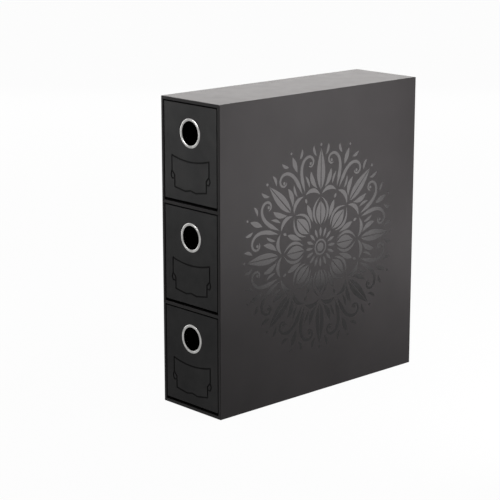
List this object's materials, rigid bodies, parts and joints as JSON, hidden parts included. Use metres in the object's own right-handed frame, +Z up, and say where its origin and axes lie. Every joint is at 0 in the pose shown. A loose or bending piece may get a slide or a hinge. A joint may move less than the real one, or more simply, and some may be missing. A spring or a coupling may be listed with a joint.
{
  "type": "trading card drawer box",
  "caption": "Upright binder-format storage case for trading cards: covered board case on its base, divided by shelves into bays, each holding a pull-out tray with a metal finger ring.",
  "frame": {"origin": "middle of the case's base, on the surface that it stands on", "axes": "+Z up; +Y towards the closed back, so the drawers' faces look towards -Y and pull out that way; +X to the right of someone who faces the drawers from the front"},
  "size_m": [0.087, 0.2844, 0.32],
  "materials": {
    "greyboard": "matte",
    "covering_paper": "satin",
    "face_paper": "matte",
    "lining_paper": "matte",
    "plated_steel": "gloss"
  },
  "bodies": {
    "case": {"case_left_board": "greyboard", "case_right_board": "greyboard", "case_top_board": "greyboard", "case_bottom_board": "greyboard", "case_back_board": "greyboard", "upper_shelf": "greyboard", "lower_shelf": "greyboard", "case_wrap": "covering_paper", "base_sheet": "covering_paper", "upper_shelf_edging": "covering_paper", "lower_shelf_edging": "covering_paper", "top_bay_lining": "lining_paper", "middle_bay_lining": "lining_paper", "bottom_bay_lining": "lining_paper"},
    "top_drawer": {"top_drawer_face": "face_paper", "top_drawer_front_board": "greyboard", "top_drawer_left_board": "greyboard", "top_drawer_right_board": "greyboard", "top_drawer_rear_board": "greyboard", "top_drawer_floor_board": "greyboard", "top_drawer_wrap": "covering_paper", "top_drawer_lining": "lining_paper", "top_finger_ring": "plated_steel"},
    "middle_drawer": {"middle_drawer_face": "face_paper", "middle_drawer_front_board": "greyboard", "middle_drawer_left_board": "greyboard", "middle_drawer_right_board": "greyboard", "middle_drawer_rear_board": "greyboard", "middle_drawer_floor_board": "greyboard", "middle_drawer_wrap": "covering_paper", "middle_drawer_lining": "lining_paper", "middle_finger_ring": "plated_steel"},
    "bottom_drawer": {"bottom_drawer_face": "face_paper", "bottom_drawer_front_board": "greyboard", "bottom_drawer_left_board": "greyboard", "bottom_drawer_right_board": "greyboard", "bottom_drawer_rear_board": "greyboard", "bottom_drawer_floor_board": "greyboard", "bottom_drawer_wrap": "covering_paper", "bottom_drawer_lining": "lining_paper", "bottom_finger_ring": "plated_steel"}
  },
  "joints": [
    {"name": "top_drawer_slide", "type": "slide", "parent": "case", "child": "top_drawer", "axis": [0, -1, 0], "range_m": [0, 0.26]},
    {"name": "middle_drawer_slide", "type": "slide", "parent": "case", "child": "middle_drawer", "axis": [0, -1, 0], "range_m": [0, 0.26]},
    {"name": "bottom_drawer_slide", "type": "slide", "parent": "case", "child": "bottom_drawer", "axis": [0, -1, 0], "range_m": [0, 0.26]}
  ]
}
